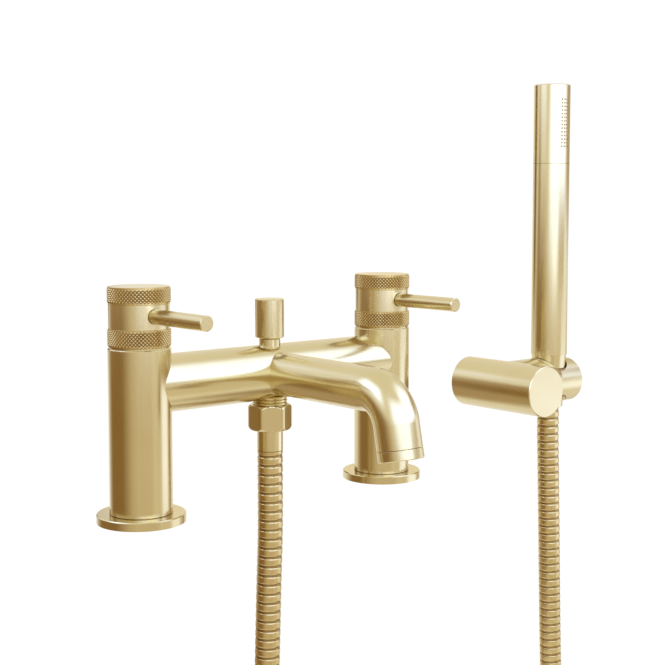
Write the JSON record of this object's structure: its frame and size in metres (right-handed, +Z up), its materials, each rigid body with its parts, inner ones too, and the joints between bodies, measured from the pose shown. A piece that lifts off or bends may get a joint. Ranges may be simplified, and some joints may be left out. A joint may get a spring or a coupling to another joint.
{
  "type": "bath shower mixer",
  "caption": "Deck-mounted bath mixer with lever handles, crossbar, curved spout, lift-up diverter, and a stick handset on a ribbed hose in a wall bracket.",
  "frame": {"origin": "midway between the two inlet centres, on the plane of the deck", "axes": "+X along the crossbar to the cold pillar and the bracket, +Z up, the spout points to -Y"},
  "size_m": [0.3745, 0.1552, 0.7821],
  "materials": {
    "brushed_brass": "brushed satin",
    "knurled_brass": "diamond knurled",
    "hose_cover": "ribbed metal hose",
    "raw_brass": "machined",
    "steel": "machined",
    "rubber": "moulded seal",
    "silicone": "moulded soft nozzles",
    "ceramic": "polished ceramic",
    "nylon": "moulded"
  },
  "bodies": {
    "mixer": {"hot_pillar": "brushed_brass", "hot_foot_flange": "brushed_brass", "hot_foot_gasket": "rubber", "hot_cartridge": "raw_brass", "hot_seat_seal": "rubber", "hot_fixed_disc": "ceramic", "cold_pillar": "brushed_brass", "cold_foot_flange": "brushed_brass", "cold_foot_gasket": "rubber", "cold_cartridge": "raw_brass", "cold_seat_seal": "rubber", "cold_fixed_disc": "ceramic", "crossbar": "brushed_brass", "spout": "brushed_brass", "spout_collar": "brushed_brass", "aerator": "nylon", "aerator_seal": "rubber", "diverter_bush": "brushed_brass", "outlet_spigot": "brushed_brass", "hose_nut": "brushed_brass", "hose_washer": "rubber", "hose_ferrule": "brushed_brass", "hose": "hose_cover", "hose_inner_tube": "rubber", "bracket_body": "brushed_brass", "wall_fixing": "steel", "bracket_grub_screw": "steel", "holder_seat": "nylon"},
    "hot_handle": {"hot_moving_disc": "ceramic", "hot_spindle": "steel", "hot_handle_hub": "brushed_brass", "hot_handle_ring": "knurled_brass", "hot_handle_cap": "knurled_brass", "hot_handle_screw": "steel", "hot_lever": "brushed_brass"},
    "cold_handle": {"cold_moving_disc": "ceramic", "cold_spindle": "steel", "cold_handle_hub": "brushed_brass", "cold_handle_ring": "knurled_brass", "cold_handle_cap": "knurled_brass", "cold_handle_screw": "steel", "cold_lever": "brushed_brass"},
    "diverter": {"diverter_rod": "steel", "diverter_knob": "brushed_brass", "diverter_plug": "raw_brass", "diverter_seal": "rubber"},
    "handset": {"handset_shaft": "brushed_brass", "handset_head": "brushed_brass", "nozzle_plate": "silicone", "handset_pipe": "nylon", "handset_inlet": "raw_brass", "cone_nut": "brushed_brass", "cone_washer": "rubber"}
  },
  "joints": [
    {"name": "hot_handle_turn", "type": "hinge", "parent": "mixer", "child": "hot_handle", "pos_m": [-0.09, 0, 0.0982], "axis": [0, 0, 1], "range_deg": [-90, 0]},
    {"name": "cold_handle_turn", "type": "hinge", "parent": "mixer", "child": "cold_handle", "pos_m": [0.09, 0, 0.0982], "axis": [0, 0, 1], "range_deg": [0, 90]},
    {"name": "diverter_lift", "type": "slide", "parent": "mixer", "child": "diverter", "axis": [0, 0, 1], "range_m": [0, 0.008]},
    {"name": "handset_lift", "type": "slide", "parent": "mixer", "child": "handset", "axis": [0, 0, 1], "range_m": [0, 0.045]}
  ]
}
